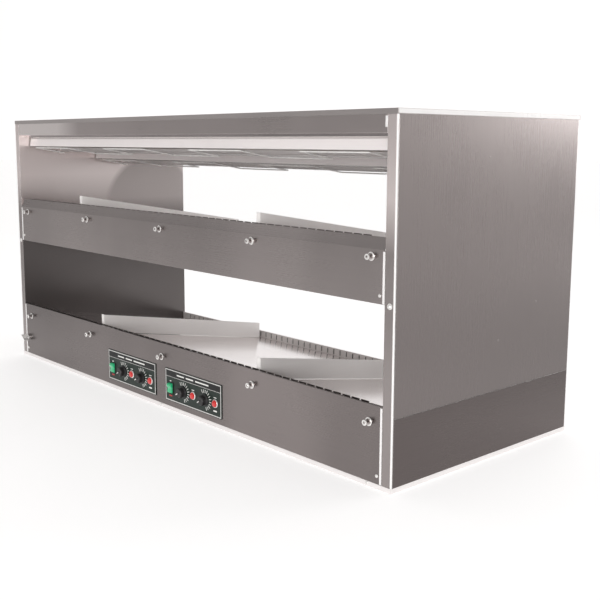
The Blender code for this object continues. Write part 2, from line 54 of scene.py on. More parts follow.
SIDES = ("left", "right")

# ---- camera --------------------------------------------------------------------
CAMERA_PLACE = (1.858, -1.513, 0.649)
CAMERA_YAW = math.radians(48.17)
CAMERA_PITCH = math.radians(-8.42)
CAMERA_ROLL = 0.0040
CAMERA_LENS = 54.82
CAMERA_SHIFT = (0.0073, -0.0364)

SENSOR_WIDTH = 36
CAMERA_CLIP = (0.01, 100)

# ---- print on the control plates -------------------------------------------------
PRINT = 0.0002
BORDER_WIDTH = 0.0021
BORDER_IN = 0.0014
TITLE_LINE = 0.0009
TITLE_HEIGHT = 0.0150
TITLE_BAR_HEIGHT = 0.0034
TITLE_BARS = (0.030, 0.030, 0.052)
TITLE_BAR_GAP = 0.008
TICK_COUNT = 12
TICK_INNER = 0.0168
TICK_OUTER = 0.0248
TICK_WIDTH = 0.0017
TICK_FIRST = math.radians(-30)
TICK_LAST = math.radians(165)
LONG_TICK_EVERY = 3
LONG_TICK_EXTRA = 0.0012
# Each mark: half its width, and its lower and upper edge from the controls' middle height.
LAMP_MARK = (0.0050, 0.0125, 0.0145)
LAMP_LABEL = (0.0065, -0.0200, -0.0165)
SWITCH_MARK = (0.0030, 0.0165, 0.0190)
SWITCH_LABEL = (0.0060, -0.0205, -0.0172)

# ---- bezels, knobs and rockers -----------------------------------------------------
# Turned profiles are (radius, height) points; a bezel's and a washer's radius is past its hole.
LAMP_BEZEL = ((0.0002, 0.0), (0.0002, 0.0016), (0.0007, 0.0021), (0.0013, 0.0018),
              (0.0018, 0.0008), (0.0020, 0.0))
SWITCH_GAP = 0.0004
SWITCH_HALF_HEIGHT = 0.0131
SWITCH_FRAME_WIDTH = 0.0020
SWITCH_FRAME_PROUD = 0.0016
SWITCH_FRAME_ROUND = 0.0004
KNOB_REST = math.radians(-120)
POINTER_ON_RIB = ((-0.0011, -0.0002, 0.0012), (0.0011, 0.0002, 0.0099))
POINTER_ON_SKIRT = ((-0.0022, -0.0046, 0.0108), (0.0022, -0.0022, 0.0145))
FLUTE = ((-0.0006, -0.0125, 0.0104), (0.0006, -0.0040, 0.0121))
FLUTE_COUNT = 24
ROCKER_WELD = 0.00002
ROCKER_FLAT = math.radians(2)
ROCKER_SHARP = math.radians(30)
ROCKER_ROUND = 0.0022
ROCKER_ROUND_STEPS = 4

# ---- screws, rivets and washers ----------------------------------------------------
SCREW_RADIUS = 0.0036
SCREW_HEIGHT = 0.0021
# The pan head's profile in shares of its radius and height, from the floor of its recess.
SCREW_PROFILE = ((0, 0.45), (0.22, 0.45), (0.30, 1.0), (0.62, 0.94), (0.90, 0.62),
                 (1.0, 0.20), (1.0, 0), (0, 0))
SCREW_STEPS = 20
BASE_SCREW_SHARES = (0.04, 0.5, 0.96)
BASE_SCREW_UP = 0.0055
FASCIA_SCREW_IN = 0.012
FASCIA_SCREW_UP = 0.016
REAR_SCREW_UP = 0.014
COVER_SCREW_IN = 0.014
COVER_SCREW_SUNK = 0.0010
RIVET_SPOTS = ((0.46, 0.86), (0.77, 0.31), (0.545, 0.19))
RIVET_PROFILE = ((0, 0.0004), (0.0016, 0.0003), (0.0022, 0.0), (0, 0.0))
RIVET_STEPS = 18
WASHER_GAP = 0.0001
WASHER_PROFILE = ((0.0, 0.0), (0.0, 0.0012), (0.0014, 0.0010), (0.0020, 0.0))

# ---- trims, beads, rail teeth and stud discs ---------------------------------------
BEAD_RADIUS = 0.0021
BEAD_IN = 0.0018
BEAD_STEPS = 16
RIM_PROUD = 0.0004
RIM_IN = 0.002
RIM_UP = 0.0012
RIM_DOWN = 0.0006
RIM_ROUND = 0.0001
SLOT_PITCH = 0.0254
SLOT_COUNT = 56
SLOT_WIDTH = 0.0045
TOOTH_RISE = 0.0022
TOOTH_SUNK = 0.004
TOOTH_PROUD = 0.0003
TOOTH_ROUND = 0.0003
STUD_COUNT = 5
STUD_MARGIN = 0.012
STUD_CORE = 0.0026
STUD_DISC_STEPS = 24
DISC_FACE_IN = 0.0006
DISC_FOOT_IN = 0.0005
DISC_RIM = (0.3, 0.7)
# Each disc: how far its foot stands off the fascia, its radius and its thickness.
STUD_DISCS = ((0.0003, 0.0086, 0.0018), (0.0112, 0.0060, 0.0024))
TRIM_WIDTH = 0.0052
TRIM_PROUD = 0.0006
TRIM_SUNK = 0.0002
TRIM_ROUND = 0.00025
TRIM_UP = 0.001
TRIM_DOWN = {"lower": 0.002, "upper": 0.026}
HOOD_TRIM_UP = 0.010
HOOD_TRIM_DOWN = 0.003

# ---- heater end holders and inlet ---------------------------------------------------
HOLDER_IN = 0.004
HOLDER_PROFILE = ((0.0048, 0.0), (0.0048, 0.014), (0.0062, 0.014), (0.0070, 0.0125),
                  (0.0070, 0.0015), (0.0062, 0.0))
HOLDER_STEPS = 24
PIN_SPOTS = ((-0.0032, -0.0018), (0.0032, -0.0018), (0.0, 0.0030))
PIN_HALF_WIDTH = 0.0006
PIN_HALF_HEIGHT = 0.0014
PIN_LENGTH = 0.009
PIN_ROUND = 0.0003
INLET_DEPTH = 0.0140

TURNED_STEPS = 32

# ---- studio -------------------------------------------------------------------------
# Background brightness by direction, from straight against WORLD_TOWARDS (0) to along it (1).
WORLD_TOWARDS = (-0.349, 0.937, 0.0)
WORLD_STOPS = ((0.0, 1.15), (0.08, 0.90), (0.15, 0.16), (0.35, 0.19), (0.455, 0.38),
               (0.55, 0.62), (0.70, 0.38), (0.77, 0.60), (0.82, 0.88), (0.86, 1.06))
WORLD_TINT = (1.0, 0.985, 0.98)
# Each area light: name, place, target, size and power.
AREA_LIGHTS = (("overhead", (0.1, 0.3, 3.2), (0, 0, 0.4), (2.4, 2.4), 11),
               ("camera_side", (3.2, -3.4, 0.95), (0, 0, 0.45), (1.4, 1.3), 62),
               ("rear_right", (2.5, 4.2, 1.45), (0, 0, 0.5), (1.5, 1.2), 27),
               ("front_card", (-2.5, -2.4, 1.75), (0, 0, 0.45), (2.4, 1.2), 4))
FLOOR_SIZE = 30.0
FLOOR_TONES = ((0.64, 0.64, 0.64), (0.67, 0.67, 0.67))
FLOOR_TINT = (1.0, 0.99, 0.985, 1.0)
# The painted pool of light on the floor, glowing by the floor's own emission: a wedge along
# FLOOR_AXIS that widens from its apex.
FLOOR_AXIS = (-0.745, 0.667, 0.0)
FLOOR_ACROSS = (0.667, 0.745, 0.0)
FLOOR_ASIDE = -0.11
FLOOR_SPREAD = 0.34
FLOOR_APEX = 2.39
FLOOR_FADE = 0.90
FLOOR_GLOW = 0.62
FLOOR_DIM = 0.24


def name_list(*patterns):
    """Node names from patterns with level, row and side left open."""
    names = []
    for pattern in patterns:
        for level in LEVELS:
            for row in ROWS:
                for side in SIDES:
                    name = pattern.format(level=level, row=row, side=side)
                    if name not in names:
                        names.append(name)
    return names


# ---- material building ---------------------------------------------------------
BRUSH_DARK = 0.98
BRUSH_LIGHT = 1.02
SOILED_SHARE = 0.80
BAND_SHARE = 0.35
BRUSH_ROUGHNESS = 0.025
# Near-white tone of the edges: partly wear, partly a painted highlight.
EDGE_WEAR_HIGHLIGHT_TONE = (0.93, 0.91, 0.89)
TONE_LIMIT = 0.98
# Soft edges of the painted reflection round a disc.
REFLECTION_EDGE = 1.12
REFLECTION_RISE = 0.10


def add_node(tree, kind, links=None, **settings):
    """A shader node with its settings, and a value or a link on each named input."""
    made = tree.nodes.new(kind)
    for key, value in settings.items():
        setattr(made, key, value)
    for key, value in (links or {}).items():
        if isinstance(value, bpy.types.NodeSocket):
            tree.links.new(value, made.inputs[key])
        else:
            made.inputs[key].default_value = value
    return made


def new_material(name):
    """A new material, its node tree and its shader."""
    made = bpy.data.materials.new(name)
    made.use_nodes = True
    shader = made.node_tree.nodes["Principled BSDF"]
    return made, made.node_tree, shader


def stretched_noise(tree, scale, detail=4.0, roughness=0.6, offset=(0.0, 0.0, 0.0)):
    """Noise in the object's own metres, with its own scale along each axis."""
    place = add_node(tree, "ShaderNodeTexCoord")
    mapping = add_node(tree, "ShaderNodeMapping", {
        "Vector": place.outputs["Object"], "Scale": scale, "Location": offset})
    noise = add_node(tree, "ShaderNodeTexNoise", {
        "Vector": mapping.outputs["Vector"], "Scale": 1.0, "Detail": detail,
        "Roughness": roughness})
    return noise.outputs["Fac"]


def ranged(tree, value, low, high, start=0.3, end=0.7):
    """A noise value spread over low..high."""
    made = add_node(tree, "ShaderNodeMapRange", {
        "Value": value, "From Min": start, "From Max": end, "To Min": low, "To Max": high})
    return made.outputs["Result"]


def added(tree, a, b):
    return add_node(tree, "ShaderNodeMath", {0: a, 1: b}, operation="ADD").outputs[0]


def scaled(tree, a, b):
    return add_node(tree, "ShaderNodeMath", {0: a, 1: b}, operation="MULTIPLY").outputs[0]


def mixed(tree, factor, dark, light):
    """A colour between two, each one a plain colour or a socket."""
    made = add_node(tree, "ShaderNodeMix", {0: factor}, data_type="RGBA")
    for index, colour in ((6, dark), (7, light)):
        if isinstance(colour, bpy.types.NodeSocket):
            tree.links.new(colour, made.inputs[index])
        else:
            made.inputs[index].default_value = (*colour, 1.0)
    return made.outputs[2]


def bumped(tree, height, distance, strength, normal=None):
    """A surface normal bent by a height, on top of another normal if one is given."""
    links = {"Height": height, "Distance": distance, "Strength": strength}
    if normal is not None:
        links["Normal"] = normal
    return add_node(tree, "ShaderNodeBump", links).outputs["Normal"]


def placed(tree):
    """Place in the object's own metres, whole and as separate axes."""
    place = add_node(tree, "ShaderNodeTexCoord").outputs["Object"]
    axes = add_node(tree, "ShaderNodeSeparateXYZ", {"Vector": place})
    return place, axes


def part_of(tone, share):
    """A tone scaled by a share, and kept below white."""
    return [min(c * share, TONE_LIMIT) for c in tone]


def painted_fade(tree, metal, tone, axis, start, end, share, reach=1.0):
    """Painted shade and highlight: the colour darkens or brightens to a share of its tone along
    an axis.
    """
    _, axes = placed(tree)
    amount = ranged(tree, axes.outputs[axis], 0.0, 1.0, start, end)
    aside = add_node(tree, "ShaderNodeMath", {0: axes.outputs["X"]}, operation="ABSOLUTE")
    within = add_node(tree, "ShaderNodeMath", {0: aside.outputs[0], 1: reach},
                      operation="LESS_THAN")
    amount = scaled(tree, amount, within.outputs[0])
    return mixed(tree, amount, metal, part_of(tone, share))


def reflection_disc_paint(tree, metal, tone, y, z, radius, floor, share):
    """Painted reflection: the metal's colour going to a share of its tone outside a circle and
    above a floor.
    """
    place, axes = placed(tree)
    flat = add_node(tree, "ShaderNodeVectorMath", {0: place, 1: (0.0, 1.0, 1.0)},
                    operation="MULTIPLY").outputs["Vector"]
    away = add_node(tree, "ShaderNodeVectorMath", {0: flat, 1: (0.0, y, z)},
                    operation="DISTANCE").outputs["Value"]
    outside = ranged(tree, away, 0.0, 1.0, radius, radius * REFLECTION_EDGE)
    raised = ranged(tree, axes.outputs["Z"], 0.0, 1.0, floor, floor + REFLECTION_RISE)
    return mixed(tree, scaled(tree, outside, raised), metal, part_of(tone, share))


def steel(name, tone, roughness, grain, wave=0.0010, brush=0.000008, smudge=0.35, edge=0.0007,
          satin=0.0, fades=(), patches=0.0, under=None, glow=None):
    """Stainless sheet: brush lines, faint streaks, smudges, waviness, and edges brightened
    partly by wear and partly as a painted highlight.

    satin is the share of diffuse light from a matt rolled surface.  Each fade is (axis, start,
    end, share, reach), a painted shade where the share is below 1 and a painted highlight where
    it is above: the tone goes to that share of itself from start to end along an axis, on the
    part of the surface within reach of the middle plane.  patches is the contrast of the broad
    tone bands along the sheet.  under is the tone's share on faces that look down, a painted
    shade.  glow is (y, z, radius, floor, share): a painted reflection, the tone brightened
    outside a circle and above a curved edge.
    """
    made, tree, shader = new_material(name)
    lines = stretched_noise(tree, grain, 5.0, 0.75)
    streaks = stretched_noise(tree, [g / 5 for g in grain], 4.0, 0.6, (3.1, 1.7, 0.4))
    clouds = stretched_noise(tree, (3.2, 3.2, 3.2), 5.0, 0.55, (0.3, 2.2, 1.9))
    stains = stretched_noise(tree, (17.0, 17.0, 17.0), 6.0, 0.65, (5.3, 0.2, 7.9))

    shade = added(tree, scaled(tree, lines, 0.45), scaled(tree, streaks, 0.55))
    dark = [c * BRUSH_DARK for c in tone]
    light = [min(c * BRUSH_LIGHT, 1.0) for c in tone]
    metal = mixed(tree, ranged(tree, shade, 0.0, 1.0), dark, light)
    soiled = [c * SOILED_SHARE for c in tone]
    grime = scaled(tree, ranged(tree, clouds, 0.0, 1.0, 0.45, 0.75),
                   ranged(tree, stains, 0.0, smudge))
    metal = mixed(tree, grime, metal, soiled)

    if patches:
        bands = stretched_noise(tree, (2.6, 2.6, 0.8), 2.0, 0.45, (7.3, 0.0, 2.0))
        metal = mixed(tree, ranged(tree, bands, patches, 0.0, 0.38, 0.62), metal,
                      [c * BAND_SHARE for c in tone])
    for fade in fades:
        metal = painted_fade(tree, metal, tone, *fade)
    if glow is not None:
        metal = reflection_disc_paint(tree, metal, tone, *glow)
    # Painted shade: faces that look down are darkened to the given share of the tone.
    if under is not None:
        down = add_node(tree, "ShaderNodeSeparateXYZ", {
            "Vector": add_node(tree, "ShaderNodeNewGeometry").outputs["Normal"]}).outputs["Z"]
        metal = mixed(tree, ranged(tree, down, 1.0, 0.0, -0.8, -0.3), metal,
                      [c * under for c in tone])

    bevel = add_node(tree, "ShaderNodeBevel", {"Radius": edge}, samples=4)
    flat = add_node(tree, "ShaderNodeNewGeometry").outputs["Normal"]
    turned = add_node(tree, "ShaderNodeVectorMath", {0: bevel.outputs["Normal"], 1: flat},
                      operation="DOT_PRODUCT").outputs["Value"]
    # Edges brightened where the bevelled normal turns: partly wear, partly a painted highlight.
    edge_wear_highlight = ranged(tree, turned, 0.55, 0.0, 0.80, 0.995)
    metal = mixed(tree, edge_wear_highlight, metal, EDGE_WEAR_HIGHLIGHT_TONE)
    tree.links.new(metal, shader.inputs["Base Color"])

    rough = added(tree, ranged(tree, lines, roughness - BRUSH_ROUGHNESS,
                               roughness + BRUSH_ROUGHNESS),
                  ranged(tree, clouds, -0.03, 0.05))
    tree.links.new(rough, shader.inputs["Roughness"])
    shader.inputs["Metallic"].default_value = 1.0 - satin

    rolled = bumped(tree, stretched_noise(tree, (4.5, 4.5, 3.0), 2.0, 0.4, (1.0, 6.0, 2.0)),
                    wave, 0.6, bevel.outputs["Normal"])
    brushed = bumped(tree, lines, brush, 0.8, rolled)
    tree.links.new(brushed, shader.inputs["Normal"])
    return made


def wire_metal(name, tone, roughness, satin):
    """Drawn wire and turned fittings: fine draw lines and a little tarnish."""
    made, tree, shader = new_material(name)
    tarnish = stretched_noise(tree, (60.0, 60.0, 60.0), 5.0, 0.6)
    fine = stretched_noise(tree, (900.0, 900.0, 900.0), 3.0, 0.7)
    metal = mixed(tree, ranged(tree, tarnish, 0.0, 1.0), [c * 0.78 for c in tone], tone)
    tree.links.new(metal, shader.inputs["Base Color"])
    rough = added(tree, ranged(tree, tarnish, roughness - 0.06, roughness + 0.08),
                  ranged(tree, fine, -0.03, 0.03))
    tree.links.new(rough, shader.inputs["Roughness"])
    shader.inputs["Metallic"].default_value = 1.0 - satin
    tree.links.new(bumped(tree, fine, 0.00003, 0.5), shader.inputs["Normal"])
    return made


def sheath_metal(name):
    """Heater sheath: oxidised alloy, straw and blue-grey patches along its length."""
    made, tree, shader = new_material(name)
    along = stretched_noise(tree, (9.0, 60.0, 60.0), 4.0, 0.6)
    fine = stretched_noise(tree, (500.0, 500.0, 500.0), 3.0, 0.6)
    metal = mixed(tree, ranged(tree, along, 0.0, 1.0), (0.20, 0.16, 0.14), (0.42, 0.36, 0.31))
    tree.links.new(metal, shader.inputs["Base Color"])
    tree.links.new(ranged(tree, fine, 0.45, 0.65), shader.inputs["Roughness"])
    shader.inputs["Metallic"].default_value = 0.85
    tree.links.new(bumped(tree, fine, 0.00005, 0.5), shader.inputs["Normal"])
    return made


def moulded(name, colour, roughness, scuff=0.35, coat=0.0, texture=700.0):
    """Moulded plastic or paint: fine moulding texture, scuffs and dulled patches."""
    made, tree, shader = new_material(name)
    grain = stretched_noise(tree, (texture, texture, texture), 3.0, 0.6)
    wear = stretched_noise(tree, (45.0, 45.0, 45.0), 6.0, 0.65)
    pale = [c + (0.5 - c) * 0.14 for c in colour]
    tone = mixed(tree, scaled(tree, ranged(tree, wear, 0.0, 1.0, 0.5, 0.8), scuff), colour, pale)
    tree.links.new(tone, shader.inputs["Base Color"])
    rough = added(tree, ranged(tree, wear, roughness - 0.05, roughness + 0.12),
                  ranged(tree, grain, -0.03, 0.03))
    tree.links.new(rough, shader.inputs["Roughness"])
    shader.inputs["Coat Weight"].default_value = coat
    tree.links.new(bumped(tree, grain, 0.00004, 0.5), shader.inputs["Normal"])
    return made


def lens(name, colour, glow):
    """Clear tinted lens: a smooth coat over a colour that deepens in its moulded ribs."""
    made, tree, shader = new_material(name)
    ribs = stretched_noise(tree, (420.0, 420.0, 420.0), 2.0, 0.5)
    deep = [c * 0.55 for c in colour]
    tone = mixed(tree, ranged(tree, ribs, 0.0, 1.0), deep, colour)
    tree.links.new(tone, shader.inputs["Base Color"])
    tree.links.new(ranged(tree, ribs, 0.12, 0.24), shader.inputs["Roughness"])
    shader.inputs["Coat Weight"].default_value = 0.8
    shader.inputs["Coat Roughness"].default_value = 0.05
    shader.inputs["Emission Color"].default_value = (*colour, 1.0)
    shader.inputs["Emission Strength"].default_value = glow
    tree.links.new(bumped(tree, ribs, 0.00008, 0.4), shader.inputs["Normal"])
    return made


ALONG_X = (3.0, 700.0, 700.0)
ALONG_Y = (700.0, 3.0, 700.0)
ALONG_Z = (700.0, 700.0, 3.0)
HOOD_LIT_TONE = (0.58, 0.520, 0.510)

FINISH = {
    "fascia": steel("brushed_fascia", (0.42, 0.376, 0.368), 0.27, ALONG_X, wave=0.0014,
                    patches=0.30),
    # A darker copy of the fascia steel as painted shade, darker still towards the left end.
    "low_fascia": steel("brushed_low_fascia_shaded", (0.275, 0.243, 0.237), 0.26, ALONG_X, wave=0.0016,
                        patches=0.40, fades=[("X", 0.10, -0.60, 0.66)]),
    # A lighter copy of the fascia steel, with a painted highlight brightening its left end.
    "hood": steel("brushed_hood_lit", HOOD_LIT_TONE, 0.30, ALONG_X, wave=0.0014, patches=0.12,
                  fades=[("X", -0.38, -0.50, 1.75)]),
    # Painted shade: the side panels darken towards the bottom.
    "side": steel("brushed_side", (0.415, 0.368, 0.360), 0.28, ALONG_Z, wave=0.0006,
                  fades=[("Z", 0.66, 0.14, 0.50)]),
    # A much darker copy of the side steel, painted shade on the lower side panels.
    "side_low": steel("brushed_side_low_shaded", (0.135, 0.115, 0.112), 0.28, ALONG_Y, wave=0.0006),
    # Painted reflection on the side frames: lighter above one height, darker below another, and
    # brightened outside a disc above a curved edge.
    "frame": steel("polished_frame_painted_reflection", (0.33, 0.296, 0.289), 0.20, ALONG_Z, wave=0.0018,
                   satin=0.30, glow=(0.17, 0.43, 0.165, 0.45, 2.6),
                   fades=[("Z", 0.37, 0.47, 1.40, 0.7408), ("Z", 0.47, 0.37, 0.40, 0.7408)]),
    "cover": steel("brushed_cover", (0.60, 0.55, 0.54), 0.34, ALONG_X),
    "base": steel("base_pan_steel", (0.92, 0.88, 0.87), 0.34, ALONG_X, satin=0.6),
    "deck": steel("polished_deck", (0.76, 0.705, 0.695), 0.16, ALONG_Y, wave=0.0012, satin=0.08),
    "ceiling": steel("reflector_steel", (0.60, 0.55, 0.54), 0.20, ALONG_X, wave=0.0016),
    # Painted shade: the channels darken on faces that look down.
    "housing_steel": steel("heater_channel_steel_shaded_under", (0.98, 0.93, 0.92), 0.36, ALONG_X,
                           satin=0.80, under=0.34),
    "divider": steel("divider_steel", (0.99, 0.95, 0.93), 0.42, ALONG_Y, wave=0.0006,
                     satin=0.85),
    "rail": steel("rail_steel", (0.97, 0.93, 0.91), 0.38, ALONG_X, edge=0.0004, satin=0.80),
    # A dark copy of the rail steel, painted shade on the front rail and its teeth.
    "front_rail": steel("front_rail_shaded_steel", (0.20, 0.175, 0.17), 0.30, ALONG_X, edge=0.0002),
    "stud": steel("stud_steel", (0.42, 0.38, 0.37), 0.24, ALONG_Y, edge=0.0002),
    "bead": steel("polished_weld_bead", (0.98, 0.96, 0.95), 0.30, ALONG_Z, edge=0.0003,
                  satin=0.90),
    "wire": wire_metal("bright_wire", (1.0, 0.98, 0.96), 0.36, satin=0.9),
    "fitting": wire_metal("bright_fitting", (0.98, 0.96, 0.94), 0.30, satin=0.55),
    "sheath": sheath_metal("heater_sheath_alloy"),
    "ceramic": moulded("holder_ceramic", (0.74, 0.70, 0.62), 0.45, texture=300.0),
    "plate": moulded("plate_enamel", (0.004, 0.016, 0.010), 0.42, scuff=0.06),
    "black": moulded("print_black", (0.003, 0.003, 0.003), 0.45, scuff=0.04),
    "white": moulded("print_white", (0.88, 0.88, 0.85), 0.5, scuff=0.1),
    "silver": moulded("print_silver", (0.74, 0.73, 0.71), 0.45, scuff=0.1),
    "red": moulded("print_red", (0.52, 0.030, 0.022), 0.42),
    "knob": moulded("knob_black_plastic", (0.016, 0.015, 0.016), 0.34, scuff=0.6),
    "housing": moulded("housing_black_plastic", (0.020, 0.020, 0.021), 0.5, texture=400.0),
    "green_lens": lens("rocker_green_lens", (0.012, 0.42, 0.17), 0.35),
    "red_lens": lens("lamp_red_lens", (0.62, 0.022, 0.020), 0.35),
}

NODE_FINISH = {
    "hood": ["hood_front_fascia", "hood_rear_fascia"],
    "fascia": ["upper_front_fascia", "upper_rear_fascia"],
    "low_fascia": ["lower_front_fascia", "lower_rear_fascia"],
    "side": name_list("{side}_side_panel"),
    "side_low": name_list("{side}_lower_side_panel"),
    "frame": name_list("{side}_side_frame"),
    "cover": ["top_cover"],
    "base": ["base_pan"],
    "deck": name_list("{level}_deck"),
    "ceiling": ["hood_reflector_ceiling", "upper_shelf_underpan"],
    "housing_steel": name_list("{level}_{row}_heater_housing"),
    "divider": name_list("{level}_{side}_divider"),
    "rail": name_list("{level}_rear_slot_rail"),
    "front_rail": name_list("{level}_front_slot_rail"),
    "stud": name_list("{level}_label_studs"),
    "wire": name_list("{level}_{row}_wire_guard"),
    "fitting": name_list("{side}_post_screw") + ["cover_wing_screw"],
    "sheath": name_list("{level}_{row}_heater_element"),
    "plate": name_list("{level}_control_plate"),
    "knob": name_list("{level}_{row}_heat_knob"),
    "housing": name_list("{level}_controller_block") + ["power_inlet"],
    "green_lens": name_list("{level}_power_rocker"),
    "red_lens": name_list("{level}_{row}_indicator"),
}


def finish_cad_nodes():
    """Its finish on every CAD solid."""
    for finish, names in NODE_FINISH.items():
        for name in names:
            for slot in NODES[name].material_slots:
                slot.material = FINISH[finish]


# ---- piece building ------------------------------------------------------------
def piece(name, bm, finish, body):
    """A finished mesh object that rides on a CAD body."""
    bmesh.ops.recalc_face_normals(bm, faces=bm.faces)
    mesh = bpy.data.meshes.new(name)
    bm.to_mesh(mesh)
    bm.free()
    mesh.materials.append(FINISH[finish])
    made = bpy.data.objects.new(name, mesh)
    bpy.context.scene.collection.objects.link(made)
    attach(made, body)
    return made


def smooth(made, angle=math.radians(40)):
    """Smooth shading with its sharp edges kept."""
    mesh = made.data
    for polygon in mesh.polygons:
        polygon.use_smooth = True
    bm = bmesh.new()
    bm.from_mesh(mesh)
    for edge in bm.edges:
        if len(edge.link_faces) == 2 and edge.calc_face_angle() > angle:
            edge.smooth = False
    bm.to_mesh(mesh)
    bm.free()


def add_block(bm, low, high, turn=None):
    """A box between two corners, turned by a matrix if one is given."""
    low, high = Vector(low), Vector(high)
    size = Matrix.Diagonal((*(high - low), 1.0))
    matrix = Matrix.Translation((low + high) / 2) @ size
    if turn is not None:
        matrix = turn @ matrix
    return bmesh.ops.create_cube(bm, size=1.0, matrix=matrix)["verts"]


def rounded_block(bm, low, high, radius, segments=2):
    """A box with its edges rounded."""
    verts = add_block(bm, low, high)
    edges = {edge for vert in verts for edge in vert.link_edges}
    bmesh.ops.bevel(bm, geom=list(edges), offset=radius, segments=segments,
                    profile=0.5, affect="EDGES")


def add_turned(bm, profile, matrix, steps=TURNED_STEPS):
    """A closed turned form from (radius, height) points, standing on local +Z."""
    rings = []
    for radius, height in profile:
        if radius == 0:
            rings.append([bm.verts.new(matrix @ Vector((0, 0, height)))])
            continue
        ring = []
        for step in range(steps):
            angle = 2 * math.pi * step / steps
            spot = Vector((radius * math.cos(angle), radius * math.sin(angle), height))
            ring.append(bm.verts.new(matrix @ spot))
        rings.append(ring)
    closed = rings[0] if profile[0][0] else None
    pairs = list(zip(rings, rings[1:]))
    if closed:
        pairs.append((rings[-1], closed))
    for below, above in pairs:
        for step in range(steps):
            after = (step + 1) % steps
            corners = [below[step % len(below)], below[after % len(below)],
                       above[after % len(above)], above[step % len(above)]]
            corners = list(dict.fromkeys(corners))
            if len(corners) > 2:
                bm.faces.new(corners)


def facing(place, direction):
    """Matrix that stands local +Z along a world direction at a place."""
    turn = Vector(direction).to_track_quat("Z", "Y").to_matrix().to_4x4()
    return Matrix.Translation(place) @ turn


def screw_head(name, place, direction):
    """Pan-head screw with a round recess."""
    bm = bmesh.new()
    profile = [(SCREW_RADIUS * out, SCREW_HEIGHT * up) for out, up in SCREW_PROFILE]
    add_turned(bm, profile, facing(place, direction), SCREW_STEPS)
    smooth(piece(name, bm, "fitting", "cabinet"))


# ---- control plates ------------------------------------------------------------
def plate_frame(level):
    """Corners of a control plate and the height its controls share."""
    low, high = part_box(f"{level}_control_plate")
    lamp_low, lamp_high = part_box(f"{level}_front_indicator")
    return low, high, (lamp_low.z + lamp_high.z) / 2


def centre_x(node):
    """Middle of a CAD node along X."""
    low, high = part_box(node)
    return (low.x + high.x) / 2


def printed(bm, x0, x1, z0, z1, face_y, layers=1):
    """A flat printed patch lying on the plate."""
    add_block(bm, (x0, face_y - PRINT * layers, z0), (x1, face_y + PRINT, z1))


def marked(bm, x, mark, control_z, face_y):
    """A small printed mark placed from the controls' middle height."""
    half, below, above = mark
    printed(bm, x - half, x + half, control_z + below, control_z + above, face_y)


def print_border(level):
    """Silver border of a control plate, and the line under its title strip."""
    low, high, _ = plate_frame(level)
    bm = bmesh.new()
    x0, x1 = low.x + BORDER_IN, high.x - BORDER_IN
    z0, z1 = low.z + BORDER_IN, high.z - BORDER_IN
    printed(bm, x0, x1, z0, z0 + BORDER_WIDTH, low.y)
    printed(bm, x0, x1, z1 - BORDER_WIDTH, z1, low.y)
    printed(bm, x0, x0 + BORDER_WIDTH, z0 + BORDER_WIDTH, z1 - BORDER_WIDTH, low.y)
    printed(bm, x1 - BORDER_WIDTH, x1, z0 + BORDER_WIDTH, z1 - BORDER_WIDTH, low.y)
    line_z = z1 - BORDER_WIDTH - TITLE_HEIGHT
    printed(bm, x0 + BORDER_WIDTH, x1 - BORDER_WIDTH, line_z - TITLE_LINE, line_z, low.y)
    piece(f"{level}_plate_border", bm, "silver", "cabinet")


def print_title(level):
    """Black title strip, and plain bars where a title would be."""
    low, high, _ = plate_frame(level)
    inside = BORDER_IN + BORDER_WIDTH
    top = high.z - inside
    strip = bmesh.new()
    printed(strip, low.x + inside, high.x - inside, top - TITLE_HEIGHT, top, low.y)
    piece(f"{level}_title_strip", strip, "black", "cabinet")
    bars = bmesh.new()
    total = sum(TITLE_BARS) + TITLE_BAR_GAP * (len(TITLE_BARS) - 1)
    x = (low.x + high.x - total) / 2
    z = top - (TITLE_HEIGHT + TITLE_BAR_HEIGHT) / 2
    for length in TITLE_BARS:
        printed(bars, x, x + length, z, z + TITLE_BAR_HEIGHT, low.y, 2)
        x += length + TITLE_BAR_GAP
    piece(f"{level}_title_bars", bars, "white", "cabinet")


def print_dials(level):
    """Ticks that fan round each knob, and small marks over the lamps and the switch."""
    low, _, control_z = plate_frame(level)
    bm = bmesh.new()
    for row in ROWS:
        x = centre_x(f"{level}_{row}_heat_knob")
        for tick in range(TICK_COUNT):
            angle = TICK_FIRST + (TICK_LAST - TICK_FIRST) * tick / (TICK_COUNT - 1)
            turn = Matrix.Translation((x, low.y, control_z)) @ Matrix.Rotation(angle, 4, "Y")
            extra = LONG_TICK_EXTRA if tick % LONG_TICK_EVERY == 0 else 0.0
            add_block(bm, (-TICK_WIDTH / 2, -PRINT, TICK_INNER),
                      (TICK_WIDTH / 2, PRINT, TICK_OUTER + extra), turn)
        marked(bm, centre_x(f"{level}_{row}_indicator"), LAMP_MARK, control_z, low.y)
    rocker_x = centre_x(f"{level}_power_rocker")
    marked(bm, rocker_x, SWITCH_MARK, control_z, low.y)
    marked(bm, centre_x(f"{level}_rear_indicator"), LAMP_LABEL, control_z, low.y)
    piece(f"{level}_dial_marks", bm, "white", "cabinet")
    red = bmesh.new()
    marked(red, rocker_x, SWITCH_LABEL, control_z, low.y)
    piece(f"{level}_switch_patch", red, "red", "cabinet")


def lamp_bezel(level, row):
    """Bright ring round an indicator lamp."""
    low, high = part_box(f"{level}_{row}_indicator")
    plate_low, _, control_z = plate_frame(level)
    radius = (high.x - low.x) / 2
    place = (centre_x(f"{level}_{row}_indicator"), plate_low.y, control_z)
    profile = [(radius + out, up) for out, up in LAMP_BEZEL]
    bm = bmesh.new()
    add_turned(bm, profile, facing(place, (0, -1, 0)))
    smooth(piece(f"{level}_{row}_lamp_bezel", bm, "fitting", "cabinet"))


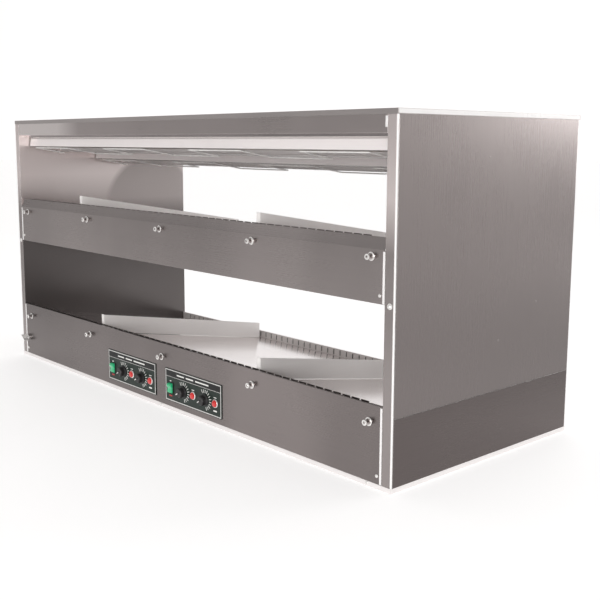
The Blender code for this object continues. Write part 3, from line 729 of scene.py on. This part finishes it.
def switch_bezel(level):
    """Black frame that the rocker sits in."""
    low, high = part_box(f"{level}_power_rocker")
    plate_low, _, control_z = plate_frame(level)
    x = (low.x + high.x) / 2
    half_w = (high.x - low.x) / 2 + SWITCH_GAP
    half_h, wide = SWITCH_HALF_HEIGHT, SWITCH_FRAME_WIDTH
    front, back = plate_low.y - SWITCH_FRAME_PROUD, plate_low.y
    bm = bmesh.new()
    for side in (-1, 1):
        inner, outer = x + side * half_w, x + side * (half_w + wide)
        rounded_block(bm, (min(inner, outer), front, control_z - half_h - wide),
                      (max(inner, outer), back, control_z + half_h + wide), SWITCH_FRAME_ROUND)
        near, far = control_z + side * half_h, control_z + side * (half_h + wide)
        rounded_block(bm, (x - half_w, front, min(near, far)),
                      (x + half_w, back, max(near, far)), SWITCH_FRAME_ROUND)
    piece(f"{level}_switch_bezel", bm, "housing", "cabinet")


def knob_details(level, row):
    """Bright pointer on the rib and the skirt, and grip flutes round the knob's side."""
    node = f"{level}_{row}_heat_knob"
    low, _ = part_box(node)
    plate_low, _, control_z = plate_frame(level)
    x = centre_x(node)
    body = f"{level}_{row}_knob"
    turn = Matrix.Rotation(KNOB_REST, 4, "Y")
    pointer = bmesh.new()
    top = Matrix.Translation((x, low.y, control_z)) @ turn
    add_block(pointer, *POINTER_ON_RIB, top)
    skirt = Matrix.Translation((x, plate_low.y, control_z)) @ turn
    add_block(pointer, *POINTER_ON_SKIRT, skirt)
    piece(f"{node}_pointer", pointer, "fitting", body)
    flutes = bmesh.new()
    for flute in range(FLUTE_COUNT):
        angle = KNOB_REST + 2 * math.pi * (flute + 0.5) / FLUTE_COUNT
        grip = Matrix.Translation((x, plate_low.y, control_z)) @ Matrix.Rotation(angle, 4, "Y")
        add_block(flutes, *FLUTE, grip)
    piece(f"{node}_grip_flutes", flutes, "knob", body)


def rocker_cap(level):
    """The rocker with its edges rounded, in place of the plain CAD paddle."""
    node = f"{level}_power_rocker"
    bm = bmesh.new()
    bm.from_mesh(NODES[node].data)
    bmesh.ops.remove_doubles(bm, verts=bm.verts, dist=ROCKER_WELD)
    bmesh.ops.dissolve_limit(bm, angle_limit=ROCKER_FLAT, verts=bm.verts, edges=bm.edges)
    sharp = [edge for edge in bm.edges
             if len(edge.link_faces) == 2 and edge.calc_face_angle() > ROCKER_SHARP]
    bmesh.ops.bevel(bm, geom=sharp, offset=ROCKER_ROUND, segments=ROCKER_ROUND_STEPS,
                    profile=0.5, affect="EDGES", clamp_overlap=True)
    made = piece(f"{level}_rocker_cap", bm, "green_lens", f"{level}_rocker")
    smooth(made)
    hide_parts(node)


# ---- trims, screws and fittings -------------------------------------------------
def corner_beads():
    """Polished weld beads down the front corners, and bright rims on the cover's ends."""
    cover_low, cover_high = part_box("top_cover")
    for side, sign in (("left", -1), ("right", 1)):
        low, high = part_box(f"{side}_side_frame")
        x = (high.x if sign > 0 else low.x) - sign * BEAD_IN
        bm = bmesh.new()
        tall = high.z - low.z
        profile = [(BEAD_RADIUS, 0.0), (BEAD_RADIUS, tall), (0, tall), (0, 0.0)]
        add_turned(bm, profile, facing((x, low.y + BEAD_IN, low.z), (0, 0, 1)), BEAD_STEPS)
        smooth(piece(f"{side}_corner_bead", bm, "bead", "cabinet"))
        rim = bmesh.new()
        edge_x = cover_high.x if sign > 0 else cover_low.x
        proud_x = edge_x + sign * RIM_PROUD
        rounded_block(rim, (min(edge_x, proud_x), cover_low.y + RIM_IN, cover_low.z + RIM_UP),
                      (max(edge_x, proud_x), cover_high.y - RIM_IN, cover_high.z - RIM_DOWN),
                      RIM_ROUND, 1)
        piece(f"{side}_cover_rim", rim, "bead", "cabinet")


def rail_teeth(level):
    """Folded teeth of the front slot rail, which stand just above the fascia's top edge; painted
    shade darkens them.
    """
    low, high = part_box(f"{level}_front_slot_rail")
    bm = bmesh.new()
    for index in range(SLOT_COUNT - 1):
        start = (index - (SLOT_COUNT - 1) / 2) * SLOT_PITCH + SLOT_WIDTH / 2
        rounded_block(bm, (start, low.y - TOOTH_PROUD, high.z - TOOTH_SUNK),
                      (start + SLOT_PITCH - SLOT_WIDTH, high.y + TOOTH_PROUD,
                       high.z + TOOTH_RISE), TOOTH_ROUND, 1)
    piece(f"{level}_rail_teeth", bm, "front_rail", "cabinet")


def stud_caps(level):
    """Bright discs on the outer ends and feet of the label studs."""
    low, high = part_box(f"{level}_label_studs")
    fascia_low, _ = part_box(f"{level}_front_fascia")
    z = (low.z + high.z) / 2
    first, last = low.x + STUD_MARGIN, high.x - STUD_MARGIN
    bm = bmesh.new()
    for index in range(STUD_COUNT):
        x = first + (last - first) * index / (STUD_COUNT - 1)
        for depth, radius, thick in STUD_DISCS:
            profile = [(STUD_CORE, 0.0), (STUD_CORE, thick), (radius - DISC_FACE_IN, thick),
                       (radius, thick * DISC_RIM[1]), (radius, thick * DISC_RIM[0]),
                       (radius - DISC_FOOT_IN, 0.0)]
            place = (x, fascia_low.y - depth, z)
            add_turned(bm, profile, facing(place, (0, -1, 0)), STUD_DISC_STEPS)
    smooth(piece(f"{level}_stud_caps", bm, "fitting", "cabinet"))


def end_trim(name, x, y, z0, z1):
    """Bright hemmed strip that closes a fascia against its post."""
    bm = bmesh.new()
    rounded_block(bm, (x, y - TRIM_PROUD, z0), (x + TRIM_WIDTH, y + TRIM_SUNK, z1), TRIM_ROUND)
    piece(name, bm, "bead", "cabinet")


def fascia_trims():
    """End trims of both level fascias, and one at the hood's right end."""
    for level in LEVELS:
        low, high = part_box(f"{level}_front_fascia")
        for side, x in (("left", low.x), ("right", high.x - TRIM_WIDTH)):
            end_trim(f"{level}_{side}_fascia_trim", x, low.y, low.z + TRIM_UP,
                     high.z - TRIM_DOWN[level])
    low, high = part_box("hood_front_fascia")
    end_trim("hood_end_trim", high.x - TRIM_WIDTH, low.y, low.z + HOOD_TRIM_UP,
             high.z - HOOD_TRIM_DOWN)


def post_washers():
    """Cup washer under each post screw."""
    for side in SIDES:
        low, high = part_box(f"{side}_post_screw")
        frame_low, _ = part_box(f"{side}_side_frame")
        inner = (high.x - low.x) / 2 + WASHER_GAP
        profile = [(inner + out, up) for out, up in WASHER_PROFILE]
        bm = bmesh.new()
        place = ((low.x + high.x) / 2, frame_low.y, (low.z + high.z) / 2)
        add_turned(bm, profile, facing(place, (0, -1, 0)))
        smooth(piece(f"{side}_post_washer", bm, "fitting", "cabinet"))


def cabinet_screws():
    """Pan-head screws along the base, at the fascia ends, on the hood and at the rear."""
    base_low, base_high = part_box("base_pan")
    for index, share in enumerate(BASE_SCREW_SHARES):
        x = base_low.x + (base_high.x - base_low.x) * share
        for face, y, direction in (("front", base_low.y, -1), ("rear", base_high.y, 1)):
            screw_head(f"base_{face}_screw_{index}", (x, y, BASE_SCREW_UP), (0, direction, 0))
    for level in LEVELS:
        low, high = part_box(f"{level}_front_fascia")
        rear_low, rear_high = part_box(f"{level}_rear_fascia")
        for side, x in (("left", low.x + FASCIA_SCREW_IN), ("right", high.x - FASCIA_SCREW_IN)):
            screw_head(f"{level}_{side}_fascia_screw",
                       (x, low.y, low.z + FASCIA_SCREW_UP), (0, -1, 0))
            screw_head(f"{level}_{side}_rear_screw",
                       (x, rear_high.y, rear_low.z + REAR_SCREW_UP), (0, 1, 0))
    cover_low, cover_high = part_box("top_cover")
    top = cover_high.z - COVER_SCREW_SUNK
    for side, x in (("left", cover_low.x + COVER_SCREW_IN),
                    ("right", cover_high.x - COVER_SCREW_IN)):
        for face, y in (("front", cover_low.y + COVER_SCREW_IN),
                        ("rear", cover_high.y - COVER_SCREW_IN)):
            screw_head(f"cover_{side}_{face}_screw", (x, y, top), (0, 0, 1))


def panel_screws():
    """Small flat rivets on each side panel."""
    low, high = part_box("right_side_panel")
    left_low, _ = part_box("left_side_panel")
    depth, height = high.y - low.y, high.z - low.z
    for index, (along, up) in enumerate(RIVET_SPOTS):
        y, z = low.y + depth * along, low.z + height * up
        for side, x, direction in (("right", high.x, 1), ("left", left_low.x, -1)):
            bm = bmesh.new()
            add_turned(bm, RIVET_PROFILE, facing((x, y, z), (direction, 0, 0)), RIVET_STEPS)
            smooth(piece(f"{side}_panel_rivet_{index}", bm, "side", "cabinet"))


def heater_holders():
    """Ceramic end holders that carry each heater element in its channel."""
    for level in LEVELS:
        for row in ROWS:
            low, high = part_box(f"{level}_{row}_heater_element")
            middle = (low + high) / 2
            for side, x, direction in (("left", low.x, 1), ("right", high.x, -1)):
                bm = bmesh.new()
                place = (x + direction * HOLDER_IN, middle.y, middle.z)
                add_turned(bm, HOLDER_PROFILE, facing(place, (direction, 0, 0)), HOLDER_STEPS)
                smooth(piece(f"{level}_{row}_{side}_element_holder", bm, "ceramic", "cabinet"))


def inlet_pins():
    """Three flat pins inside the rear inlet."""
    low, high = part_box("power_inlet")
    x, z = (low.x + high.x) / 2, (low.z + high.z) / 2
    floor_y = high.y - INLET_DEPTH
    bm = bmesh.new()
    for dx, dz in PIN_SPOTS:
        rounded_block(bm, (x + dx - PIN_HALF_WIDTH, floor_y, z + dz - PIN_HALF_HEIGHT),
                      (x + dx + PIN_HALF_WIDTH, floor_y + PIN_LENGTH, z + dz + PIN_HALF_HEIGHT),
                      PIN_ROUND)
    piece("inlet_pins", bm, "fitting", "cabinet")


# ---- camera, light and floor ------------------------------------------------------
def add_camera():
    """Camera at the photo's viewing angle."""
    data = bpy.data.cameras.new("camera")
    data.sensor_width = SENSOR_WIDTH
    data.lens = CAMERA_LENS
    data.shift_x, data.shift_y = CAMERA_SHIFT
    data.clip_start, data.clip_end = CAMERA_CLIP
    camera = bpy.data.objects.new("camera", data)
    camera.matrix_world = (Matrix.Translation(CAMERA_PLACE)
                           @ Matrix.Rotation(CAMERA_YAW, 4, "Z")
                           @ Matrix.Rotation(math.pi / 2 + CAMERA_PITCH, 4, "X")
                           @ Matrix.Rotation(CAMERA_ROLL, 4, "Z"))
    bpy.context.scene.collection.objects.link(camera)
    bpy.context.scene.camera = camera


def add_world():
    """Studio with a white sweep behind the cabinet and darker walls in front of it."""
    world = bpy.data.worlds.new("studio")
    bpy.context.scene.world = world
    world.use_nodes = True
    tree = world.node_tree
    place = add_node(tree, "ShaderNodeTexCoord")
    along = add_node(tree, "ShaderNodeVectorMath", {
        0: place.outputs["Generated"], 1: WORLD_TOWARDS}, operation="DOT_PRODUCT")
    share = ranged(tree, along.outputs["Value"], 0.0, 1.0, -1.0, 1.0)
    ramp = add_node(tree, "ShaderNodeValToRGB", {"Fac": share})
    while len(ramp.color_ramp.elements) < len(WORLD_STOPS):
        ramp.color_ramp.elements.new(0.5)
    for element, (position, level) in zip(ramp.color_ramp.elements, WORLD_STOPS):
        element.position = position
        element.color = (*(level * c for c in WORLD_TINT), 1.0)
    background = tree.nodes["Background"]
    tree.links.new(ramp.outputs["Color"], background.inputs["Color"])
    background.inputs["Strength"].default_value = 1.0


def add_area(name, place, target, size, power):
    """Soft rectangular light aimed at a target."""
    data = bpy.data.lights.new(name, "AREA")
    data.shape = "RECTANGLE"
    data.size, data.size_y = size
    data.energy = power
    light = bpy.data.objects.new(name, data)
    light.location = place
    light.rotation_mode = "QUATERNION"
    light.rotation_quaternion = (Vector(target) - Vector(place)).to_track_quat("-Z", "Y")
    bpy.context.scene.collection.objects.link(light)


def add_lights():
    for light in AREA_LIGHTS:
        add_area(*light)


def floor_pool(tree):
    """1 in a painted pool of light that widens towards the white sweep, falling softly to 0."""
    place = add_node(tree, "ShaderNodeTexCoord").outputs["Object"]
    along = add_node(tree, "ShaderNodeVectorMath", {0: place, 1: FLOOR_AXIS},
                     operation="DOT_PRODUCT").outputs["Value"]
    across = add_node(tree, "ShaderNodeVectorMath", {0: place, 1: FLOOR_ACROSS},
                      operation="DOT_PRODUCT").outputs["Value"]
    centred = add_node(tree, "ShaderNodeMath", {0: added(tree, across, FLOOR_ASIDE)},
                       operation="ABSOLUTE").outputs[0]
    half = scaled(tree, added(tree, along, FLOOR_APEX), FLOOR_SPREAD)
    inside = add_node(tree, "ShaderNodeMath", {0: half, 1: centred}, operation="SUBTRACT")
    return ranged(tree, inside.outputs[0], 0.0, 1.0, -FLOOR_FADE, 0.0)


def add_floor():
    """Pale floor glowing by its own emission, brighter in a wide soft painted pool of light."""
    bm = bmesh.new()
    bmesh.ops.create_grid(bm, x_segments=1, y_segments=1, size=FLOOR_SIZE)
    mesh = bpy.data.meshes.new("floor")
    bm.to_mesh(mesh)
    bm.free()
    made, tree, shader = new_material("pale_floor")
    cloud = stretched_noise(tree, (1.5, 1.5, 1.5), 4.0, 0.5)
    tone = mixed(tree, ranged(tree, cloud, 0.0, 1.0), *FLOOR_TONES)
    tree.links.new(tone, shader.inputs["Base Color"])
    shader.inputs["Roughness"].default_value = 0.7
    shader.inputs["Emission Color"].default_value = FLOOR_TINT
    glow = ranged(tree, floor_pool(tree), FLOOR_DIM, FLOOR_GLOW, 0.0, 1.0)
    tree.links.new(glow, shader.inputs["Emission Strength"])
    mesh.materials.append(made)
    floor = bpy.data.objects.new("floor", mesh)
    bpy.context.scene.collection.objects.link(floor)


def build():
    """Studio, finishes and every added piece."""
    add_camera()
    add_world()
    add_lights()
    add_floor()
    finish_cad_nodes()
    for level in LEVELS:
        print_border(level)
        print_title(level)
        print_dials(level)
        switch_bezel(level)
        rocker_cap(level)
        rail_teeth(level)
        stud_caps(level)
        for row in ROWS:
            lamp_bezel(level, row)
            knob_details(level, row)
    corner_beads()
    fascia_trims()
    post_washers()
    cabinet_screws()
    panel_screws()
    heater_holders()
    inlet_pins()
    bpy.context.scene.view_settings.view_transform = "Standard"


build()
